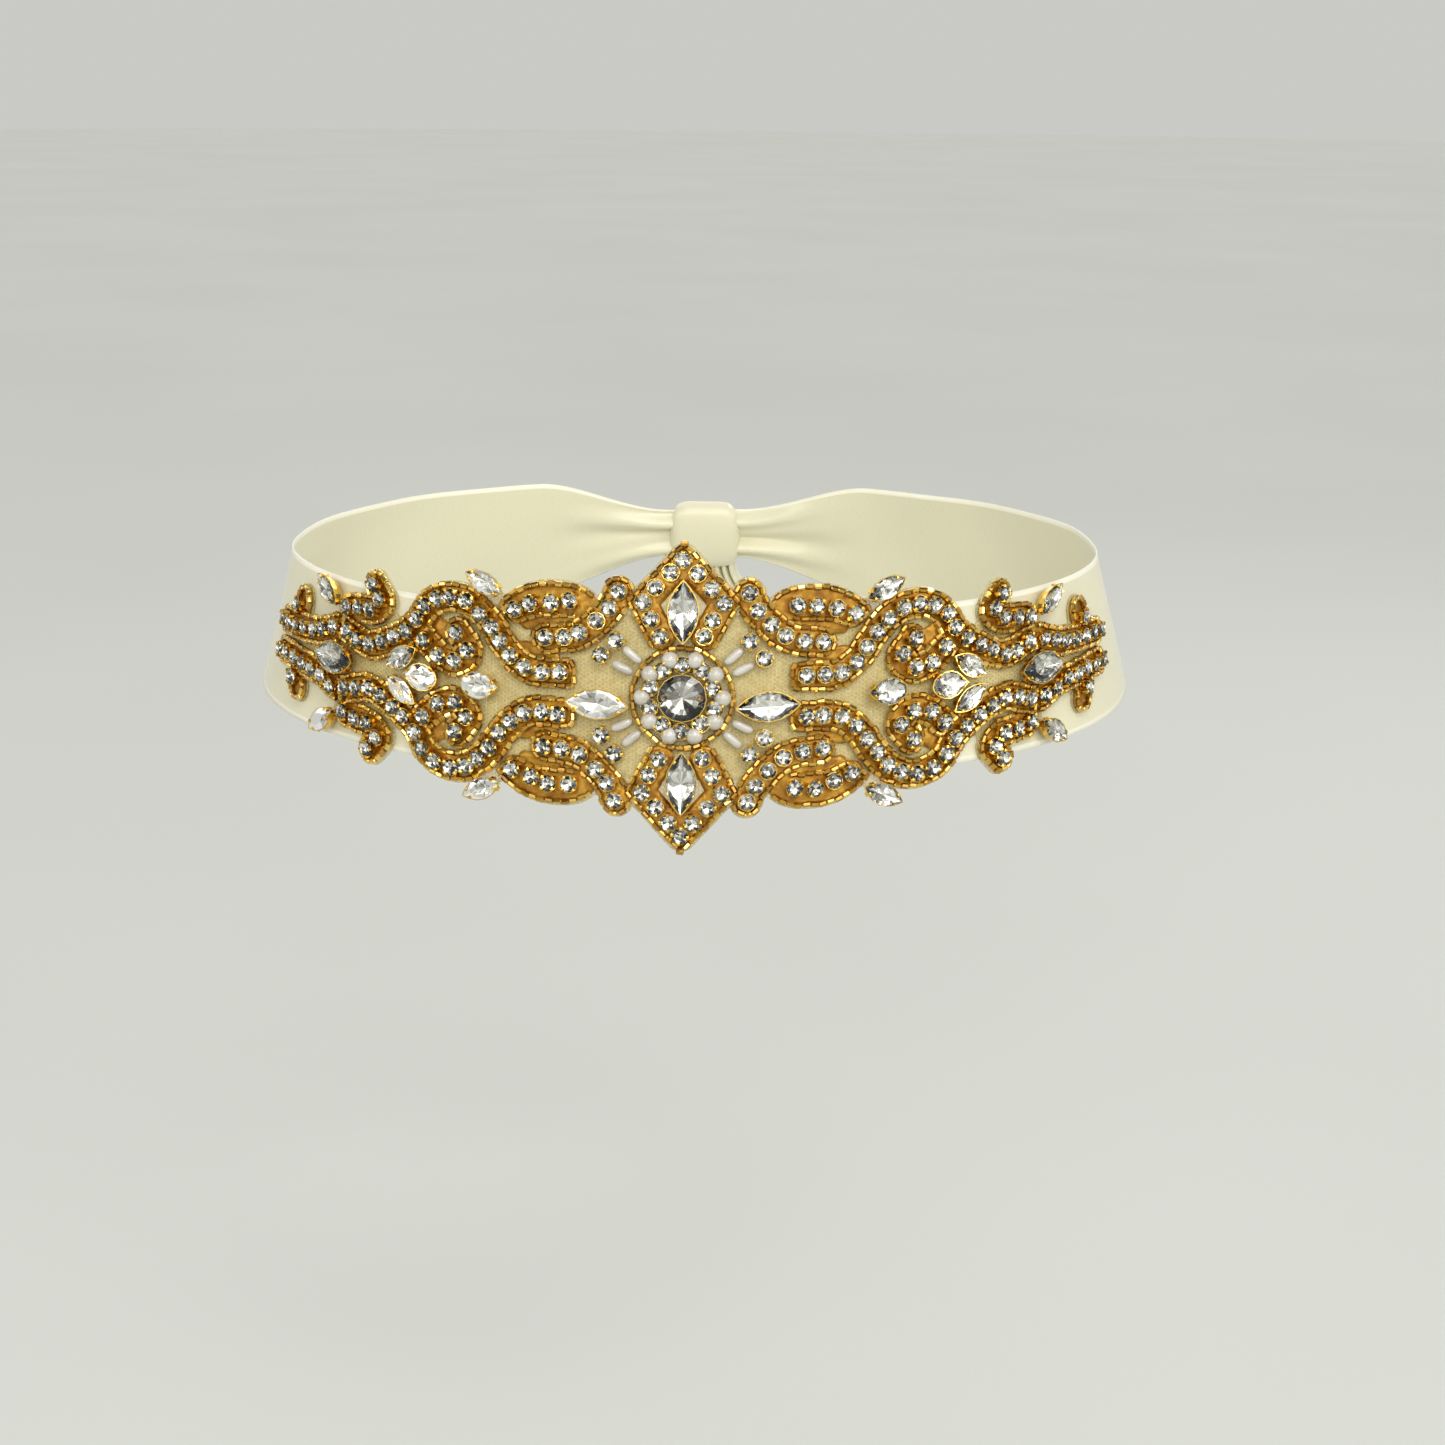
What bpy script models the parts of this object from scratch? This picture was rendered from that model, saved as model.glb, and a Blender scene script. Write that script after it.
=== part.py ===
"""Bridal sash: a satin ribbon worn round the waist, with a beaded rhinestone applique on its front.

The origin is the middle of the waist opening, half way up the ribbon. +Z is up, the front faces -Y, and
+X is the wearer's left, which the names of left and right pieces follow.
A place on the worn cloth is given by u, v and w: u runs along the waist from the centre front towards +X,
v runs up the slant of the waist, and w stands out from the middle of the ribbon's wall.
Lengths below are in millimetres, and on_waist turns them into metres.
"""

import math
from collections import namedtuple

import bmesh
import bpy
from mathutils import Vector
from mathutils.geometry import delaunay_2d_cdt

METRES = 0.001
SEAM_GAP = 0.3

# The waist: an ellipse at the ribbon's mid height that widens downwards, as a waist does above the hips.
WAIST_HALF_WIDTH = 110.0
WAIST_HALF_DEPTH = 85.8
WAIST_FLARE = 0.26
WAIST_SLANT = math.hypot(1.0, WAIST_FLARE)

# The ribbon: 38 mm satin, gathered into the knot at the back.
RIBBON_WIDTH = 38.0
RIBBON_WALL = 1.2
RIBBON_SECTIONS = 76
RIBBON_ROWS = 6
GATHERED_WIDTH = 16.0
GATHER_REACH = 42.0
GATHER_FOLDS = 2.0
GATHER_DEPTH = 1.1

# The knot and the two trimmed tails below it.
KNOT_WIDTH = 21.0
KNOT_HEIGHT = 21.0
KNOT_DEPTH = 10.0
KNOT_OUT = 2.6
KNOT_SQUARENESS = 0.62
KNOT_SIDES = 18
KNOT_RINGS = 11
KNOT_RIDGE = 0.7
TAIL_SECTIONS = 12
TAIL_ROWS = 7
TAIL_LENGTH = 64.0
TAIL_CUT = 9.0
TAIL_SPREAD = 21.5
TAIL_NECK = 9.0
TAIL_FOLDS = 1.5
TAIL_FOLD_DEPTH = 1.5

# Levels of the applique above the ribbon's middle: plain inside, net, beaded strips, stones.
NET_INSIDE = RIBBON_WALL / 2.0 + SEAM_GAP
NET_OUTSIDE = NET_INSIDE + 1.0
BEAD_TOP = NET_OUTSIDE + 1.0
PEARL_TOP = BEAD_TOP + 1.1
STONE_TOP = BEAD_TOP + 1.8
SET_STONE_BASE = BEAD_TOP + SEAM_GAP

# The beaded strips: a row of round stones between two lines of beads.
STRIP_HALF_WIDTH = 3.4
ROUND_STONE = 4.2
ROUND_STONE_TABLE = 2.4
ROUND_SIDES = 6
CENTRE_DISC = 12.0
CENTRE_DISC_SIDES = 30
RING_STONES = 10
RING_RADIUS = 8.05
RING_PEARL_RADIUS = 10.2
RING_PEARL = 2.3
SEAT_MARGIN = 0.2
NET_GRID = 6.0
RIM_CLEARANCE = 2.5
CURVE_STEPS = 12

# Rows of round stones in one quarter of the applique, which is mirrored to the other three.
# x runs out from the centre and y away from the centre line; the row is a smooth curve through its points.
Row = namedtuple("Row", "name stones points")
STONE_ROWS = (
    Row("diamond", 6, ((0.0, 31.6), (9.0, 21.8), (4.9, 13.9))),
    Row("scallop", 6, ((14.8, 24.0), (16.9, 19.8), (23.5, 13.8), (31.6, 12.4))),
    Row("crest", 4, ((25.6, 21.0), (32.5, 20.6), (39.0, 18.3))),
    Row("wave", 18, ((28.0, 4.6), (35.2, 4.8), (40.6, 8.6), (45.6, 15.2), (50.6, 18.9), (56.2, 19.6),
                     (61.6, 17.2), (65.5, 12.0), (72.0, 7.7), (79.5, 5.1), (86.6, 6.8))),
    Row("swirl", 5, ((62.0, 8.6), (58.2, 5.6), (54.0, 4.7), (50.6, 7.6), (53.5, 11.7))),
    Row("hook", 5, ((86.8, 12.6), (82.4, 13.1), (78.1, 13.7), (75.7, 16.1), (78.3, 19.4))),
    Row("prong", 7, ((91.8, 7.1), (98.6, 4.9), (105.0, 4.2), (117.4, 3.7))),
    Row("curl", 1, ((109.6, 7.6), (108.6, 10.6))),
)

# The curl has one stone part way along its short strip.
CURL_STONE = 0.3
CURL_CUTS = (-0.2, 0.5, 1.1)

# Round stones that stand alone on the net, one quarter of them.
LONE_STONES = ((15.1, 12.9), (18.3, 9.1))
LONE_STONE_SEAT = 2.5

# What the net spans between the strips, one quarter of it: its outline as x and y.
NET_OUTLINE = ((0.0, 33.0), (10.0, 23.0), (13.5, 25.5), (20.5, 17.5), (26.0, 21.5), (38.0, 19.5),
               (47.0, 24.0), (56.0, 19.0), (67.0, 11.5), (75.0, 14.5), (86.8, 13.0), (94.5, 15.8),
               (92.0, 9.0), (106.0, 5.0), (109.5, 9.0), (112.0, 4.2), (117.5, 3.0), (117.5, 0.0))

# Large stones, each in a claw cup: length, width, height, and how pointed each end is.
Cut = namedtuple("Cut", "length width height sides tail_point head_point")
CUTS = {
    "chaton": Cut(11.0, 11.0, 3.6, 12, 0.0, 0.0),
    "marquise": Cut(14.4, 7.0, 3.4, 12, 1.0, 1.0),
    "navette": Cut(10.0, 5.0, 2.9, 10, 1.0, 1.0),
    "eye": Cut(13.6, 7.6, 3.2, 12, 0.7, 0.7),
    "pear": Cut(9.4, 6.4, 3.2, 12, 1.0, 0.0),
}

# Where the large stones sit: centre, and the turn in degrees of the head end from +x.
# mirror is "all" for four, "side" for left and right, "rise" for top and bottom, and "none" for one.
Setting = namedtuple("Setting", "name cut x y turn mirror")
SETTINGS = (
    Setting("centre_stone", "chaton", 0.0, 0.0, 0.0, "none"),
    Setting("petal", "marquise", 0.0, 19.6, 90.0, "rise"),
    Setting("wing_petal", "marquise", 19.2, -2.0, 3.0, "side"),
    Setting("drop", "pear", 46.8, 0.0, 0.0, "side"),
    Setting("bud", "pear", 62.6, 0.0, 180.0, "side"),
    Setting("bud_leaf", "navette", 68.1, 3.8, -32.0, "all"),
    Setting("eye", "eye", 90.2, 0.0, 0.0, "side"),
    Setting("outer_leaf", "navette", 46.2, 23.8, 25.0, "all"),
    Setting("end_leaf", "navette", 94.0, 15.6, 36.0, "all"),
)

# Rice pearls on the net beside the centre disc, one quarter of them: centre and turn.
RICE_PEARLS = ((11.5, 9.6, 40.0), (13.7, 6.6, 26.0))
RICE_LENGTH = 4.8
RICE_WIDTH = 2.4

QUARTERS = ((1, 1, "upper_left"), (-1, 1, "upper_right"), (1, -1, "lower_left"), (-1, -1, "lower_right"))
PLACED_SIDES = {
    "none": ((1, 1, ""),),
    "rise": ((1, 1, "upper"), (1, -1, "lower")),
    "side": ((1, 1, "left"), (-1, 1, "right")),
    "all": QUARTERS,
}


def clear_scene():
    for obj in list(bpy.data.objects):
        bpy.data.objects.remove(obj, do_unlink=True)


def arc_table(steps=1440):
    """Length along the waist's mid ellipse at each small step of angle from the centre front."""
    lengths = [0.0]
    for step in range(steps):
        middle = math.tau * (step + 0.5) / steps
        speed = math.hypot(WAIST_HALF_WIDTH * math.cos(middle), WAIST_HALF_DEPTH * math.sin(middle))
        lengths.append(lengths[-1] + speed * math.tau / steps)
    return lengths


ARC = arc_table()
WAIST_LENGTH = ARC[-1]
BACK = WAIST_LENGTH / 2.0


def waist_angle(u):
    """Angle round the ellipse of the place u along the waist."""
    whole = u % WAIST_LENGTH
    low, high = 0, len(ARC) - 1
    while high - low > 1:
        half = (low + high) // 2
        low, high = (half, high) if ARC[half] <= whole else (low, half)
    part = (whole - ARC[low]) / (ARC[high] - ARC[low])
    return math.tau * (low + part) / (len(ARC) - 1)


def on_waist(u, v, w):
    """The place u, v, w on the worn cloth, in metres."""
    angle = waist_angle(u)
    z = v / WAIST_SLANT
    wide = WAIST_HALF_WIDTH - WAIST_FLARE * z
    deep = WAIST_HALF_DEPTH - WAIST_FLARE * z
    sine, cosine = math.sin(angle), math.cos(angle)
    rise = WAIST_FLARE * (wide * cosine * cosine + deep * sine * sine)
    outward = Vector((deep * sine, -wide * cosine, rise)).normalized()
    return (Vector((wide * sine, -deep * cosine, z)) + outward * w) * METRES


def on_front(x, y, w):
    """A point of the flat applique laid on the waist, with x kept at its true length at every height."""
    z = y / WAIST_SLANT
    narrowing = (WAIST_HALF_WIDTH - WAIST_FLARE * z) / WAIST_HALF_WIDTH
    return on_waist(x / narrowing, y, w)


def smooth_step(value):
    value = min(1.0, max(0.0, value))
    return value * value * (3.0 - 2.0 * value)


def material(name, colour, roughness, metallic=0.0):
    made = bpy.data.materials.new(name)
    made.use_nodes = True
    shader = made.node_tree.nodes["Principled BSDF"]
    shader.inputs["Base Color"].default_value = (*colour, 1.0)
    shader.inputs["Roughness"].default_value = roughness
    shader.inputs["Metallic"].default_value = metallic
    return made


def add_object(name, bm, finish):
    """A closed mesh made into the named object, facing out."""
    bm.normal_update()
    bmesh.ops.recalc_face_normals(bm, faces=bm.faces)
    mesh = bpy.data.meshes.new(name)
    bm.to_mesh(mesh)
    bm.free()
    mesh.materials.append(finish)
    obj = bpy.data.objects.new(name, mesh)
    bpy.context.scene.collection.objects.link(obj)
    return obj


def wall_of_cloth(name, sections, finish):
    """A cloth wall through sections, each a closed loop of as many points, with both ends capped."""
    bm = bmesh.new()
    loops = [[bm.verts.new(point) for point in section] for section in sections]
    count = len(loops[0])
    for before, after in zip(loops, loops[1:]):
        for i in range(count):
            j = (i + 1) % count
            bm.faces.new((before[i], before[j], after[j], after[i]))
    half = count // 2
    for loop in (loops[0], loops[-1]):
        for i in range(half - 1):
            bm.faces.new((loop[i], loop[i + 1], loop[count - 2 - i], loop[count - 1 - i]))
    return add_object(name, bm, finish)


def cloth_section(rows, point_at):
    """The outer face's points and then the inner face's back again; point_at takes across and side."""
    across = [2.0 * row / (rows - 1) - 1.0 for row in range(rows)]
    outer = [point_at(t, 1.0) for t in across]
    inner = [point_at(t, -1.0) for t in reversed(across)]
    return outer + inner


def make_ribbon(finish):
    """The ribbon round the waist: full width from the front, gathered in folds as it nears the knot."""
    end = BACK - KNOT_WIDTH / 2.0 - SEAM_GAP

    def section(share):
        u = end * share
        gather = smooth_step((abs(u) - (end - GATHER_REACH)) / GATHER_REACH)
        half = (RIBBON_WIDTH + (GATHERED_WIDTH - RIBBON_WIDTH) * gather) / 2.0

        def point_at(t, side):
            fold = GATHER_DEPTH * gather * math.cos(GATHER_FOLDS * math.pi * (t + 1.0))
            return on_waist(u, t * half, fold + KNOT_OUT * gather * 0.5 + side * RIBBON_WALL / 2.0)

        return cloth_section(RIBBON_ROWS, point_at)

    shares = [2.0 * step / RIBBON_SECTIONS - 1.0 for step in range(RIBBON_SECTIONS + 1)]
    return wall_of_cloth("ribbon_band", [section(share) for share in shares], finish)


def make_knot(finish):
    """The flat knot at the back: a rounded lump of ribbon with soft ridges where the wrap lies over it."""
    bm = bmesh.new()
    bmesh.ops.create_uvsphere(bm, u_segments=KNOT_SIDES, v_segments=KNOT_RINGS, radius=1.0)
    for vert in bm.verts:
        dx, dy, dw = (math.copysign(abs(c) ** KNOT_SQUARENESS, c) for c in vert.co.xzy)
        ridge = KNOT_RIDGE * math.cos(2.0 * math.pi * dx) * smooth_step(dw)
        dx, dy, dw = dx * KNOT_WIDTH / 2.0, dy * KNOT_HEIGHT / 2.0, dw * KNOT_DEPTH / 2.0
        vert.co = on_waist(BACK + dx, dy, KNOT_OUT + dw + ridge)
    return add_object("ribbon_knot", bm, finish)


def make_tail(name, side, finish):
    """One tail, let out of the knot in folds, opening to the ribbon's width and cut on a slant."""
    start = -KNOT_HEIGHT / 2.0 - SEAM_GAP

    def section(share):
        opened = smooth_step(share * 1.7)
        half = (TAIL_NECK + (RIBBON_WIDTH - TAIL_NECK) * opened) / 2.0
        centre = side * (TAIL_NECK / 2.0 + SEAM_GAP + (TAIL_SPREAD - TAIL_NECK / 2.0) * opened)

        def point_at(t, face):
            fold = TAIL_FOLD_DEPTH * math.cos(TAIL_FOLDS * math.pi * (t * side + 1.0)) * (1.0 - 0.45 * share)
            lengthened = TAIL_LENGTH + TAIL_CUT * t * side
            out = KNOT_OUT + fold + face * RIBBON_WALL / 2.0
            return on_waist(BACK - centre - t * half, start - lengthened * share, out)

        return cloth_section(TAIL_ROWS, point_at)

    shares = [step / TAIL_SECTIONS for step in range(TAIL_SECTIONS + 1)]
    return wall_of_cloth(name, [section(share) for share in shares], finish)


def smooth_curve(points):
    """Points close together on a Catmull-Rom curve through the given ones."""
    ends = [Vector(p) for p in points]
    ends = [ends[0] * 2.0 - ends[1]] + ends + [ends[-1] * 2.0 - ends[-2]]
    curve = []
    for a, b, c, d in zip(ends, ends[1:], ends[2:], ends[3:]):
        for step in range(CURVE_STEPS):
            t = step / CURVE_STEPS
            curve.append(0.5 * (2.0 * b + (c - a) * t + (2.0 * a - 5.0 * b + 4.0 * c - d) * t * t
                                + (3.0 * b - a - 3.0 * c + d) * t ** 3))
    return curve + [ends[-2]]


def along(curve, share):
    """The point at this share of the curve's length, and the direction there. Past an end it runs straight."""
    steps = [(b - a).length for a, b in zip(curve, curve[1:])]
    wanted = share * sum(steps)
    for i, step in enumerate(steps):
        if wanted <= step or i == len(steps) - 1:
            direction = (curve[i + 1] - curve[i]) / step
            return curve[i] + direction * wanted, direction
        wanted -= step
    raise ValueError("the curve has no length")


def regular_polygon(x, y, radius, sides, turn=0.0):
    angles = [turn + math.tau * i / sides for i in range(sides)]
    return [(x + radius * math.cos(angle), y + radius * math.sin(angle)) for angle in angles]


def row_stones(row):
    """Centres of a row's stones in the first quarter."""
    if row.name == "diamond":
        # The diamond's sides are straight, with a stone at each corner.
        tip, side, foot = (Vector(p) for p in row.points)
        return [tip.lerp(side, i / 3.0) for i in range(4)] + [side.lerp(foot, i / 2.0) for i in (1, 2)]
    curve = smooth_curve(row.points)
    if row.stones == 1:
        return [along(curve, CURL_STONE)[0]]
    return [along(curve, i / (row.stones - 1.0))[0] for i in range(row.stones)]


def row_cells(row):
    """The strip under a row, cut into one four-sided cell for each stone, in the first quarter."""
    if row.name == "diamond":
        tip, side, foot = (Vector(p) for p in row.points)
        path = [tip.lerp(side, i / 6.0) for i in (1, 3, 5)] + [side.lerp(foot, i / 4.0) for i in (1, 3, 5)]
        path[2:4] = [side]
        path = [Vector((0.0, tip.y))] + path
        directions = [Vector((1.0, 0.0)), (side - tip).normalized(), (side - tip).normalized()]
        directions += [Vector((0.0, -1.0)), (foot - side).normalized(), (foot - side).normalized()]
    else:
        curve = smooth_curve(row.points)
        gaps = max(1, row.stones - 1)
        shares = [(i - 0.5) / gaps for i in range(row.stones + 1)] if row.stones > 1 else CURL_CUTS
        path, directions = zip(*(along(curve, share) for share in shares))
    left = [p + Vector((-d.y, d.x)) * STRIP_HALF_WIDTH for p, d in zip(path, directions)]
    right = [p - Vector((-d.y, d.x)) * STRIP_HALF_WIDTH for p, d in zip(path, directions)]
    return [in_turn([left[i], left[i + 1], right[i + 1], right[i]]) for i in range(len(path) - 1)]


def in_turn(corners):
    """Corners in order round their middle, so that a cell on a tight bend doesn't cross itself."""
    middle = sum(corners, Vector((0.0, 0.0))) / len(corners)
    return sorted(corners, key=lambda corner: math.atan2(corner.y - middle.y, corner.x - middle.x))


def to_quarters(points):
    """The same outline in each of the four quarters."""
    return [[(x * flip_x, y * flip_y) for x, y in points] for flip_x, flip_y, _ in QUARTERS]


def pointed_outline(cut, grow=0.0):
    """Outline of a large stone about its centre, head towards +x; grow widens it all round."""
    outline = []
    for i in range(cut.sides):
        angle = math.tau * i / cut.sides
        cosine, sine = math.cos(angle), math.sin(angle)
        point = cut.head_point if cosine > 0.0 else cut.tail_point
        narrowed = 1.0 - 0.55 * point * abs(cosine) ** 2.0
        outline.append((
            cosine * (cut.length / 2.0 + grow),
            sine * (cut.width / 2.0 + grow) * narrowed,
        ))
    return outline


def placed(points, x, y, turn, flip_x=1, flip_y=1):
    """Points about a centre, turned, moved to x, y and mirrored."""
    cosine, sine = math.cos(math.radians(turn)), math.sin(math.radians(turn))
    return [((x + px * cosine - py * sine) * flip_x, (y + px * sine + py * cosine) * flip_y)
            for px, py in points]


def raised_stones():
    """Every raised round on the applique: x, y, seat size, table size, top. Those on an axis come once."""
    rounds = {}
    for row in STONE_ROWS:
        for stone in row_stones(row):
            for flip_x, flip_y, _ in QUARTERS:
                x, y = round(stone.x * flip_x, 4) + 0.0, round(stone.y * flip_y, 4) + 0.0
                rounds[(x, y)] = (ROUND_STONE, ROUND_STONE_TABLE, STONE_TOP)
    for x, y in LONE_STONES:
        for flip_x, flip_y, _ in QUARTERS:
            rounds[(x * flip_x, y * flip_y)] = (ROUND_STONE, ROUND_STONE_TABLE, STONE_TOP)
    for i in range(RING_STONES):
        angle = math.tau * (i + 0.5) / RING_STONES
        between = angle + math.pi / RING_STONES
        rounds[(RING_RADIUS * math.cos(angle), RING_RADIUS * math.sin(angle))] = (
            ROUND_STONE, ROUND_STONE_TABLE, STONE_TOP)
        rounds[(RING_PEARL_RADIUS * math.cos(between), RING_PEARL_RADIUS * math.sin(between))] = (
            RING_PEARL, RING_PEARL * 0.5, PEARL_TOP)
    return [(x, y, *sizes) for (x, y), sizes in rounds.items()]


def applique_plan(rounds):
    """The applique's flat plan as outlines by level: net, beads, and each raised round's seat and table."""
    nets = [list(outline) + [(0.0, 0.0)] for outline in to_quarters(NET_OUTLINE)]
    beads = [regular_polygon(0.0, 0.0, CENTRE_DISC, CENTRE_DISC_SIDES)]
    for row in STONE_ROWS:
        for cell in row_cells(row):
            beads += to_quarters([(p.x, p.y) for p in cell])
    for x, y in LONE_STONES:
        beads += to_quarters(regular_polygon(x, y, LONE_STONE_SEAT, ROUND_SIDES))
    for setting in SETTINGS[1:]:
        outline = pointed_outline(CUTS[setting.cut], SEAT_MARGIN)
        for flip_x, flip_y, _ in PLACED_SIDES[setting.mirror]:
            beads.append(placed(outline, setting.x, setting.y, setting.turn, flip_x, flip_y))
    stones = []
    for x, y, seat, table, _ in rounds:
        turn = math.atan2(y, x)
        stones.append(regular_polygon(x, y, seat / 2.0, ROUND_SIDES, turn))
        stones.append(regular_polygon(x, y, table / 2.0, ROUND_SIDES, turn))
    return nets, beads, stones


def triangulate(outlines):
    """One triangulation through every outline: its points, triangles and the outlines over each triangle."""
    points, faces = [], []
    for outline in outlines:
        turned = [Vector(p) for p in outline]
        if sum(a.cross(b) for a, b in zip(turned, turned[1:] + turned[:1])) < 0.0:
            turned.reverse()
        faces.append(list(range(len(points), len(points) + len(turned))))
        points += turned
    found = delaunay_2d_cdt(points, [], faces, 0, 1e-5)
    return found[0], found[2], found[5]


def stone_height(point, rounds):
    """Height at a point of the highest raised round there: level on its table, sloping to its seat's edge."""
    highest = BEAD_TOP
    for x, y, seat, table, top in rounds:
        dx, dy = point.x - x, point.y - y
        if math.hypot(dx, dy) > seat:
            continue
        turn = math.atan2(y, x) + math.pi / ROUND_SIDES
        facing = [turn + math.tau * side / ROUND_SIDES for side in range(ROUND_SIDES)]
        reach = max(dx * math.cos(angle) + dy * math.sin(angle) for angle in facing)
        reach = 2.0 * reach / math.cos(math.pi / ROUND_SIDES)
        share = min(1.0, max(0.0, (seat - reach) / (seat - table)))
        highest = max(highest, BEAD_TOP + (top - BEAD_TOP) * share)
    return highest


def corner_heights(points, triangles, over, nets, beads, rounds):
    """Heights of each triangle's three corners, or None off the applique."""
    first_bead, first_stone = len(nets), len(nets) + len(beads)
    raised = [stone_height(point, rounds) for point in points]
    heights = []
    for triangle, outlines in zip(triangles, over):
        if any(i >= first_stone for i in outlines):
            heights.append([raised[i] for i in triangle])
        elif any(i >= first_bead for i in outlines):
            heights.append([BEAD_TOP] * 3)
        elif outlines:
            heights.append([NET_OUTSIDE] * 3)
        else:
            heights.append(None)
    return heights


def make_applique(finish):
    """The net-backed applique as one wall: a plain inside, with its strips and stones raised outside."""
    rounds = raised_stones()
    nets, beads, stones = applique_plan(rounds)
    points, triangles, over = triangulate(nets + beads + stones)
    heights = corner_heights(points, triangles, over, nets, beads, rounds)

    bm = bmesh.new()
    made = {}
    columns = {}

    def corner(i, height):
        key = (i, round(height, 3))
        if key not in made:
            made[key] = bm.verts.new(on_front(points[i].x, points[i].y, height))
            columns.setdefault(i, set()).add(key[1])
        return made[key]

    edges = {}
    for triangle, levels in zip(triangles, heights):
        if levels is None:
            continue
        bm.faces.new([corner(i, h) for i, h in zip(triangle, levels)])
        for k in range(3):
            a, b = triangle[k], triangle[(k + 1) % 3]
            pair = (levels[k], levels[(k + 1) % 3])
            key, value = ((a, b), pair) if a < b else ((b, a), pair[::-1])
            edges.setdefault(key, []).append(value)

    rim = [key for key, sides in edges.items() if len(sides) == 1]
    for a, b in rim:
        for i in (a, b):
            corner(i, NET_INSIDE)
        edges[(a, b)].append((NET_INSIDE, NET_INSIDE))

    for (a, b), (one, other) in edges.items():
        wall = []
        for i, ends in ((a, sorted((one[0], other[0]))), (b, sorted((one[1], other[1])))):
            low, high = round(ends[0], 3), round(ends[1], 3)
            rungs = sorted(h for h in columns[i] if low <= h <= high)
            wall += [made[(i, h)] for h in (rungs if i == a else reversed(rungs))]
        if len(wall) > 2:
            bm.faces.new(wall)

    add_inside(bm, points, rim, made)
    return add_object("applique", bm, finish)


def add_inside(bm, points, rim, made):
    """The plain inside face, over the same outline as the outside."""
    used = sorted({i for pair in rim for i in pair})
    place = {i: k for k, i in enumerate(used)}
    segments = [(points[a], points[b]) for a, b in rim]

    def covered(x, y):
        crossings = 0
        for a, b in segments:
            if (a.y > y) != (b.y > y) and x < a.x + (y - a.y) * (b.x - a.x) / (b.y - a.y):
                crossings += 1
        return crossings % 2 == 1

    def far_from_rim(x, y):
        return all(math.hypot(points[i].x - x, points[i].y - y) > RIM_CLEARANCE for i in used)

    inner = [(NET_GRID * i, NET_GRID * 1.5 * j) for i in range(-20, 21) for j in range(-4, 5)]
    inner = [p for p in inner if covered(*p) and far_from_rim(*p)]
    flat = [points[i] for i in used] + [Vector(p) for p in inner]
    chain = [(place[a], place[b]) for a, b in rim]
    found = delaunay_2d_cdt(flat, chain, [], 0, 1e-5)
    corners = []
    for spot, origin in zip(found[0], found[3]):
        known = [k for k in origin if k < len(used)]
        if known:
            corners.append(made[(used[known[0]], round(NET_INSIDE, 3))])
        else:
            corners.append(bm.verts.new(on_front(spot.x, spot.y, NET_INSIDE)))
    for triangle in found[2]:
        centre = sum((found[0][i] for i in triangle), Vector((0.0, 0.0))) / 3.0
        if covered(centre.x, centre.y):
            bm.faces.new([corners[i] for i in triangle])


def make_set_stone(name, setting, flip_x, flip_y, finish):
    """A large cut stone in its claw cup: cup wall, widest line, and sloping crown up to a flat table."""
    cut = CUTS[setting.cut]
    levels = ((0.0, 0.86), (0.45, 1.0), (0.62, 0.96), (1.0, 0.5))
    bm = bmesh.new()
    rings = []
    for height, scale in levels:
        outline = [(x * scale, y * scale) for x, y in pointed_outline(cut)]
        outline = placed(outline, setting.x, setting.y, setting.turn, flip_x, flip_y)
        w = SET_STONE_BASE + cut.height * height
        rings.append([bm.verts.new(on_front(x, y, w)) for x, y in outline])
    for low, high in zip(rings, rings[1:]):
        for i in range(cut.sides):
            j = (i + 1) % cut.sides
            bm.faces.new((low[i], low[j], high[j], high[i]))
    bm.faces.new(rings[0])
    bm.faces.new(rings[-1])
    return add_object(name, bm, finish)


def make_rice_pearl(name, x, y, turn, flip_x, flip_y, finish):
    """An oval pearl bead lying on the net."""
    bm = bmesh.new()
    bmesh.ops.create_uvsphere(bm, u_segments=8, v_segments=6, radius=0.5)
    base = NET_OUTSIDE + SEAM_GAP + RICE_WIDTH / 2.0
    for vert in bm.verts:
        flat = placed([(vert.co.z * RICE_LENGTH, vert.co.x * RICE_WIDTH)], x, y, turn, flip_x, flip_y)[0]
        vert.co = on_front(flat[0], flat[1], base + vert.co.y * RICE_WIDTH)
    return add_object(name, bm, finish)


clear_scene()
satin = material("ivory_satin", (0.80, 0.76, 0.58), 0.32)
beading = material("gold_beading", (0.78, 0.50, 0.12), 0.28, 0.6)
glass = material("cut_glass", (0.90, 0.92, 0.92), 0.06)
pearl = material("pearl", (0.90, 0.87, 0.78), 0.18)
make_ribbon(satin)
make_knot(satin)
make_tail("ribbon_tail_left", 1.0, satin)
make_tail("ribbon_tail_right", -1.0, satin)
make_applique(beading)
for stone_setting in SETTINGS:
    for mirror_x, mirror_y, side_name in PLACED_SIDES[stone_setting.mirror]:
        stone_name = "_".join(word for word in (stone_setting.name, side_name) if word)
        make_set_stone(stone_name, stone_setting, mirror_x, mirror_y, glass)
for number, (pearl_x, pearl_y, pearl_turn) in enumerate(RICE_PEARLS, start=1):
    for mirror_x, mirror_y, side_name in QUARTERS:
        pearl_name = f"rice_pearl_{number}_{side_name}"
        make_rice_pearl(pearl_name, pearl_x, pearl_y, pearl_turn, mirror_x, mirror_y, pearl)
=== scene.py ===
import math

import bmesh
import bpy
import numpy as np
from mathutils import Matrix, Vector


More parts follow.
